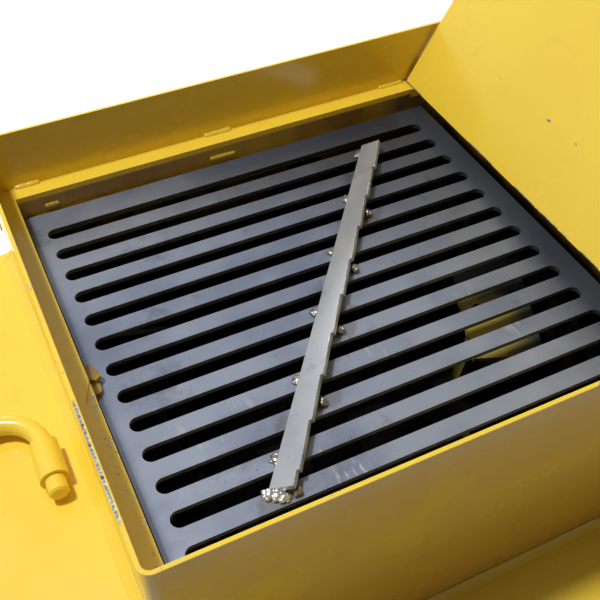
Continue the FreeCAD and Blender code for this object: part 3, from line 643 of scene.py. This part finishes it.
def guard_fillets():
    """Painted fillets outside the splash guard, and the bead up its back left corner."""
    side_x, front_y = GUARD_LOW[0], GUARD_LOW[1]
    side_end_y = 0.1835
    fillet("weld_side_deck", (side_x, front_y + 12 * MM, DECK_Z), (side_x, side_end_y, DECK_Z),
           (-1, 0, 0), 11 * MM, 9 * MM)
    shelf_low, shelf_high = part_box("front_shelf")
    z = shelf_high[2]
    fillet("weld_front_shelf", (shelf_low[0] + 3 * MM, front_y, z), (shelf_high[0] - 3 * MM, front_y, z),
           (0, -1, 0), 9 * MM, 9 * MM)
    inner_x, inner_y = GUARD_LOW[0] + SHEET, BACK_LOW[1]
    corner = [((inner_x, inner_y, DECK_Z), (inner_x, inner_y, RIM_Z - 4 * MM))]
    beads("weld_back_left_corner", corner, 2.6 * MM)


def sleeve_and_lug_welds():
    low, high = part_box("lever_sleeve")
    runs = []
    middle = (low[0] + high[0]) / 2
    for side in (-1, 1):
        x = middle + side * 7.5 * MM
        runs.append(((x, low[1] + 2 * MM, DECK_Z + 1.2 * MM), (x, high[1] - 2 * MM, DECK_Z + 1.2 * MM)))
    beads("weld_sleeve", runs, 3.2 * MM)
    low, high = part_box("hold_down_lug")
    x = low[0] + 0.5 * MM
    beads("weld_lug", [((x, low[1] + 1 * MM, high[2]), (x, high[1] - 1 * MM, high[2]))], 1.8 * MM)


def structure_welds():
    """Beads along the outside joints of the tank, gussets, skid and chute."""
    runs = []
    left_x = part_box("end_plate_left")[1][0]
    right_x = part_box("end_plate_right")[0][0]
    skin_y = TANK_HIGH[1]
    seam_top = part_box("shelf_gussets")[1][2] - 12 * MM
    points = 14
    for x in (left_x, right_x):
        for side in (-1, 1):
            runs.append(((x, side * skin_y, SHAFT_Z), (x, side * skin_y, seam_top)))
        for index in range(points):
            a = math.pi * index / points
            b = math.pi * (index + 1) / points
            runs.append(((x, skin_y * math.cos(a), SHAFT_Z - skin_y * math.sin(a)),
                         (x, skin_y * math.cos(b), SHAFT_Z - skin_y * math.sin(b))))
    beads("weld_tank_ends", runs, 3.0 * MM)

    skid_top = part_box("skid_runner_front")[1][2]
    runs = []
    for x in (left_x - SHEET, right_x + SHEET):
        for side in (-1, 1):
            runs.append(((x, side * 0.205, skid_top), (x, side * 0.255, skid_top)))
    for node in ("skid_runner_front", "skid_runner_back"):
        low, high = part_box(node)
        for x in (low[0] + 15 * MM, high[0] - 100 * MM):
            for y in (low[1], high[1]):
                runs.append(((x, y, low[2]), (x + 85 * MM, y, low[2])))
    beads("weld_skid", runs, 3.2 * MM)

    low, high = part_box("shelf_gussets")
    runs = []
    for x in (low[0], low[0] + 8 * MM, high[0] - 8 * MM, high[0]):
        runs.append(((x, low[1] + 4 * MM, high[2]), (x, GUARD_LOW[1] - 4 * MM, high[2])))
    beads("weld_gussets", runs, 2.6 * MM)


def lid_welds():
    """Beads on both sides of the lid where it meets its hinge pipe."""
    low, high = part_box("lid_hinge_pipe")
    z = (low[2] + high[2]) / 2
    x = (low[0] + high[0]) / 2
    lean = math.radians(30)
    count, reach, spread = 5, 9.0 * MM, 5.5 * MM
    runs = []
    for index in range(count):
        y = low[1] + (high[1] - low[1]) * (index + 0.5) / count
        for along in (-spread, spread):
            px = x - reach * math.cos(lean) + along * math.sin(lean)
            pz = z + reach * math.sin(lean) + along * math.cos(lean)
            runs.append(((px, y - 20 * MM, pz), (px, y + 20 * MM, pz)))
    beads("weld_hinge_pipe", runs, 2.2 * MM, body="lid")


def louvres():
    """Pressed hoods over the housing's vents."""
    low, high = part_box("housing_panel_back")
    outer_y = high[1]
    x0, x1 = TANK_X - 0.523, TANK_X - 0.377
    depth, height, steps = 9 * MM, 13 * MM, 6
    wall_y = outer_y - 0.5 * MM
    for index in range(7):
        z = (560 + index * 24) * MM
        vertices, faces = [], []
        for x in (x0, x1):
            for i in range(steps + 1):
                angle = math.pi / 2 * i / steps
                vertices.append((x, wall_y + depth * math.cos(angle), z + height * math.sin(angle)))
            vertices.append((x, wall_y, z))
        count = steps + 2
        for i in range(count - 1):
            faces.append((i, i + 1, i + 1 + count, i + count))
        faces.append((count - 1, 0, count, 2 * count - 1))
        faces.append(tuple(reversed(range(count))))
        faces.append(tuple(range(count, 2 * count)))
        piece("louvre_%d" % (index + 1), vertices, faces, YELLOW, smooth=False)


# ---------------------------------------------------------------- stage
def floor():
    g = Graph("Pale floor")
    shade = g.blend(g.step(g.noise(2.0, 2.0), 0.3, 0.7), (0.76, 0.76, 0.76), (0.79, 0.79, 0.79))
    g.finish(shade, 0.0, 0.8)
    g.shader.inputs["Emission Color"].default_value = (1.0, 1.0, 1.0, 1.0)
    g.shader.inputs["Emission Strength"].default_value = 0.12
    half = 12.0
    corners = [(-half, -half, 0), (half, -half, 0), (half, half, 0), (-half, half, 0)]
    mesh = bpy.data.meshes.new("floor")
    mesh.from_pydata(corners, [], [(0, 1, 2, 3)])
    mesh.materials.append(g.material)
    plane = bpy.data.objects.new("floor", mesh)
    bpy.context.scene.collection.objects.link(plane)


def area_light(name, place, target, size, power, color=(1, 1, 1)):
    light = bpy.data.lights.new(name, "AREA")
    light.shape = "DISK"
    light.size = size
    light.energy = power
    light.color = color
    holder = bpy.data.objects.new(name, light)
    holder.location = place
    direction = Vector(target) - Vector(place)
    holder.rotation_euler = direction.to_track_quat("-Z", "Y").to_euler()
    bpy.context.scene.collection.objects.link(holder)


def map_range(tree, source, low, high, out_low, out_high):
    node = tree.nodes.new("ShaderNodeMapRange")
    node.interpolation_type = "SMOOTHSTEP"
    tree.links.new(source, node.inputs["Value"])
    limits = {"From Min": low, "From Max": high, "To Min": out_low, "To Max": out_high}
    for socket, value in limits.items():
        node.inputs[socket].default_value = value
    return node.outputs["Result"]


def math_node(tree, operation, a, b):
    node = tree.nodes.new("ShaderNodeMath")
    node.operation = operation
    tree.links.new(a, node.inputs[0])
    tree.links.new(b, node.inputs[1])
    return node.outputs[0]


def studio_world():
    """Soft surroundings: bright above and to the left, dim and warm to the front, pale at the horizon."""
    world = bpy.data.worlds.new("Studio")
    world.use_nodes = True
    tree = world.node_tree
    background = tree.nodes["Background"]
    coord = tree.nodes.new("ShaderNodeTexCoord")
    split = tree.nodes.new("ShaderNodeSeparateXYZ")
    tree.links.new(coord.outputs["Generated"], split.inputs[0])
    across = map_range(tree, split.outputs[0], 0.0, 0.62, 0.62, 0.22)
    depth = map_range(tree, split.outputs[1], -0.45, 0.10, 0.0, 1.0)
    shade = map_range(tree, depth, 0.0, 1.0, 0.12, 1.0)
    dome = math_node(tree, "MULTIPLY", across, shade)
    horizon = map_range(tree, split.outputs[2], 0.05, 0.20, 0.70, 0.0)
    tree.links.new(math_node(tree, "MAXIMUM", dome, horizon), background.inputs["Strength"])
    tint = tree.nodes.new("ShaderNodeMix")
    tint.data_type = "RGBA"
    tree.links.new(math_node(tree, "MAXIMUM", depth, horizon), tint.inputs["Factor"])
    tint.inputs[6].default_value = (1.0, 0.76, 0.50, 1.0)
    tint.inputs[7].default_value = (0.93, 0.96, 1.0, 1.0)
    tree.links.new(tint.outputs[2], background.inputs["Color"])
    bpy.context.scene.world = world


def lights():
    studio_world()
    bpy.context.scene.view_settings.view_transform = "Standard"
    aim = Vector((TANK_X, 0, GRATE_Z))
    key_way, key_distance = Vector((-0.36, 0.10, 0.93)), 3.2
    area_light("key", aim + key_way * key_distance, aim, 0.34, 80, (1.0, 0.985, 0.95))
    area_light("backdrop", (0.6, 2.2, 1.3), (0.6, 2.2, 0), 1.8, 56)


def camera():
    view = bpy.data.cameras.new("camera")
    view.sensor_width = 36.0
    view.lens = 54.09
    view.clip_start = 0.01
    holder = bpy.data.objects.new("camera", view)
    holder.location = (-0.2238, -0.6450, 1.5272)
    look = Vector((0.3002, 0.6251, -0.7205))
    holder.rotation_euler = look.to_track_quat("-Z", "Y").to_euler()
    bpy.context.scene.collection.objects.link(holder)
    bpy.context.scene.camera = holder


finish_cad_nodes()
blade_tacks()
cut_edge_slag()
spatter()
tank_top_welds()
guard_fillets()
sleeve_and_lug_welds()
structure_welds()
lid_welds()
louvres()
floor()
lights()
camera()
